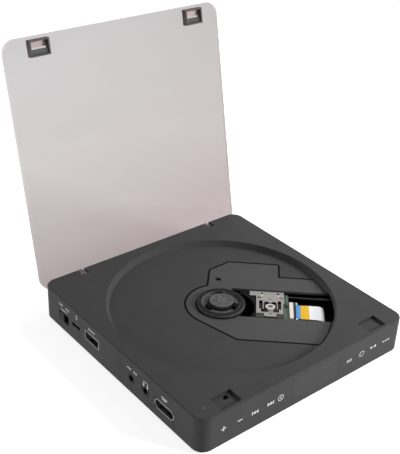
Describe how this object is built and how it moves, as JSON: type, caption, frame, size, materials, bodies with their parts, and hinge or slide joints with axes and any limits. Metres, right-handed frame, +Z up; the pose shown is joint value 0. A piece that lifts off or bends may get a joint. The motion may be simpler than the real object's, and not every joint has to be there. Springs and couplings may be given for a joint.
{
  "type": "dvd player",
  "caption": "Square portable top-loading disc player with a clear tinted lid, open to show the round well, turntable and laser sled.",
  "frame": {"origin": "spindle axis, in the plane that the feet stand on", "axes": "+Z up along the spindle, -Y towards the front with the display, +X to the right"},
  "size_m": [0.1402, 0.1707, 0.1512],
  "materials": {
    "case_plastic": "fine matte moulding",
    "foot_rubber": "matte",
    "screw_steel": "blackened",
    "window_smoke": "polished, smoked",
    "display_panel": "satin",
    "board_green": "solder mask, satin",
    "light_pipe": "clear, polished",
    "cover_black": "fine matte moulding",
    "pressed_steel": "zinc plated",
    "rod_steel": "ground and polished",
    "damper_rubber": "matte",
    "copper_winding": "enamelled wire",
    "turntable_black": "satin",
    "mat_rubber": "matte",
    "hub_black": "satin",
    "jaw_black": "polished",
    "sled_cast": "dark, sandblasted",
    "cover_silver": "warm satin",
    "magnet": "nickel plated",
    "lens_glass": "coated, polished",
    "lens_carrier": "satin",
    "connector_cream": "satin",
    "ribbon_film": "satin film",
    "gear_nylon": "satin nylon",
    "motor_steel": "plated",
    "chip_black": "matte",
    "port_steel": "bright tin plate",
    "port_black": "satin",
    "knob_black": "satin",
    "lid_smoke": "clear tinted acrylic, polished",
    "latch_smoke": "dark tinted, polished"
  },
  "bodies": {
    "base": {"upper_shell": "case_plastic", "lower_shell": "case_plastic", "rubber_feet": "foot_rubber", "case_screws": "screw_steel", "display_window": "window_smoke", "display_module": "display_panel", "touch_key_boards": "board_green", "status_light": "light_pipe", "drive_cover": "cover_black", "drive_chassis": "pressed_steel", "bushes": "damper_rubber", "guide_rods": "rod_steel", "rod_brackets": "port_black", "spindle_base": "pressed_steel", "spindle_stator": "copper_winding", "feed_motor": "motor_steel", "main_board": "board_green", "board_chips": "chip_black", "port_board": "board_green", "ribbon_socket": "connector_cream", "ribbon_cable": "ribbon_film", "usb_shell": "port_steel", "usb_tongue": "port_black", "socket_bases": "port_black", "power_socket": "port_steel", "video_shell": "port_steel", "video_tongue": "port_black", "av_jack": "port_black", "phone_jack": "port_black", "switch_can": "port_steel", "lid_sensor": "chip_black", "catch_plates": "pressed_steel", "hinge_pins": "rod_steel"},
    "lid": {"lid_panel": "lid_smoke", "latch_blocks": "latch_smoke", "lid_magnets": "magnet"},
    "spindle": {"spindle_rotor": "motor_steel", "spindle_shaft": "rod_steel", "turntable": "turntable_black", "turntable_mat": "mat_rubber", "chuck_hub": "hub_black"},
    "jaw_one": {"chuck_jaw_1": "jaw_black"},
    "jaw_two": {"chuck_jaw_2": "jaw_black"},
    "jaw_three": {"chuck_jaw_3": "jaw_black"},
    "sled": {"pickup_body": "sled_cast", "pickup_cover": "cover_silver", "actuator_magnets": "magnet", "laser_diode": "port_steel", "pickup_board": "board_green", "pickup_connector": "connector_cream", "feed_rack": "gear_nylon"},
    "lens": {"lens_holder": "lens_carrier", "focus_coils": "copper_winding", "objective_lens": "lens_glass"},
    "final_wheel": {"final_gear": "gear_nylon"},
    "idler_wheel": {"idler_gear": "gear_nylon"},
    "motor_shaft": {"motor_pinion": "rod_steel"},
    "switch": {"switch_knob": "knob_black"}
  },
  "joints": [
    {"name": "lid_hinge", "type": "hinge", "parent": "base", "child": "lid", "pos_m": [0, 0.06665, 0.0187], "axis": [1, 0, 0], "range_deg": [0, 101.4]},
    {"name": "spindle_spin", "type": "hinge", "parent": "base", "child": "spindle", "pos_m": [0, 0, 0.0174], "axis": [0, 0, 1], "continuous": true},
    {"name": "sled_slide", "type": "slide", "parent": "base", "child": "sled", "axis": [0.7431, -0.6691, 0], "range_m": [-0.0036, 0.031], "deforming": ["ribbon_cable"]},
    {"name": "final_gear_spin", "type": "hinge", "parent": "base", "child": "final_wheel", "pos_m": [0.00204, -0.0336, 0.012], "axis": [0, 0, 1], "range_deg": [-510, 60]},
    {"name": "idler_gear_spin", "type": "hinge", "parent": "base", "child": "idler_wheel", "pos_m": [-0.00696, -0.03168, 0.012], "axis": [0, 0, 1], "range_deg": [-170, 1440]},
    {"name": "motor_pinion_spin", "type": "hinge", "parent": "base", "child": "motor_shaft", "pos_m": [-0.01262, -0.02443, 0.011], "axis": [0, 0, 1], "range_deg": [-5180, 605]},
    {"name": "lens_focus", "type": "slide", "parent": "sled", "child": "lens", "axis": [0, 0, 1], "range_m": [-0.0005, 0.0005], "stiffness_N_per_m": 100},
    {"name": "switch_slide", "type": "slide", "parent": "base", "child": "switch", "axis": [0, -1, 0], "range_m": [0, 0.0042]},
    {"name": "jaw_one_slide", "type": "slide", "parent": "spindle", "child": "jaw_one", "axis": [0.5, -0.866, 0], "range_m": [-0.0008, 0], "stiffness_N_per_m": 800},
    {"name": "jaw_two_slide", "type": "slide", "parent": "spindle", "child": "jaw_two", "axis": [0.5, 0.866, 0], "range_m": [-0.0008, 0], "stiffness_N_per_m": 800},
    {"name": "jaw_three_slide", "type": "slide", "parent": "spindle", "child": "jaw_three", "axis": [-1, 0, 0], "range_m": [-0.0008, 0], "stiffness_N_per_m": 800}
  ],
  "couplings": [
    {"joint": "final_gear_spin", "follows": "sled_slide", "rad_per_m": -285.71},
    {"joint": "idler_gear_spin", "follows": "sled_slide", "rad_per_m": 809.52},
    {"joint": "motor_pinion_spin", "follows": "sled_slide", "rad_per_m": -2914.3}
  ]
}
